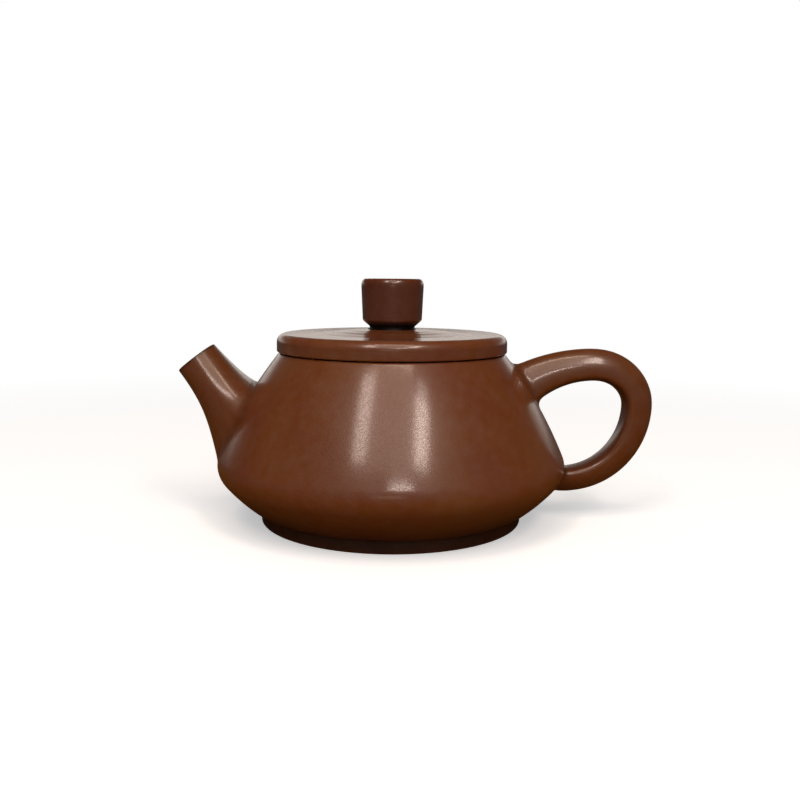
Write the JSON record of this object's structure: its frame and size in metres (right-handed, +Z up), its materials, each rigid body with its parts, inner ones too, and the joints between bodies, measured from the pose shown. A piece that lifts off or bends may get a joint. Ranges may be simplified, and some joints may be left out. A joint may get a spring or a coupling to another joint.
{
  "type": "clay teapot",
  "caption": "Low unglazed brown clay teapot with a sloping body, slightly domed overlapping lid with a drum knob, short upturned spout, ear-shaped side handle and a ring foot.",
  "frame": {"origin": "on the ground under the middle of the whole length from spout tip to handle; the pot's turned axis stands at x = -7.3 mm", "axes": "+Z up; +X from the spout to the handle; the XZ plane halves the pot"},
  "size_m": [0.1416, 0.1032, 0.0717],
  "materials": {
    "burnished_clay": "unglazed clay, burnished to a soft satin",
    "raw_clay": "unglazed clay, matte, as fired"
  },
  "bodies": {
    "pot": {"foot_ring": "burnished_clay", "base_disc": "burnished_clay", "body_wall": "burnished_clay", "mouth_ring": "burnished_clay", "spout": "burnished_clay", "strainer": "raw_clay", "handle": "burnished_clay"},
    "lid": {"lid_plate": "burnished_clay", "lid_flange": "raw_clay", "knob": "burnished_clay"}
  },
  "joints": [
    {"name": "lid_lift", "type": "slide", "parent": "pot", "child": "lid", "axis": [0, 0, 1], "range_m": [0, 0.04]}
  ]
}
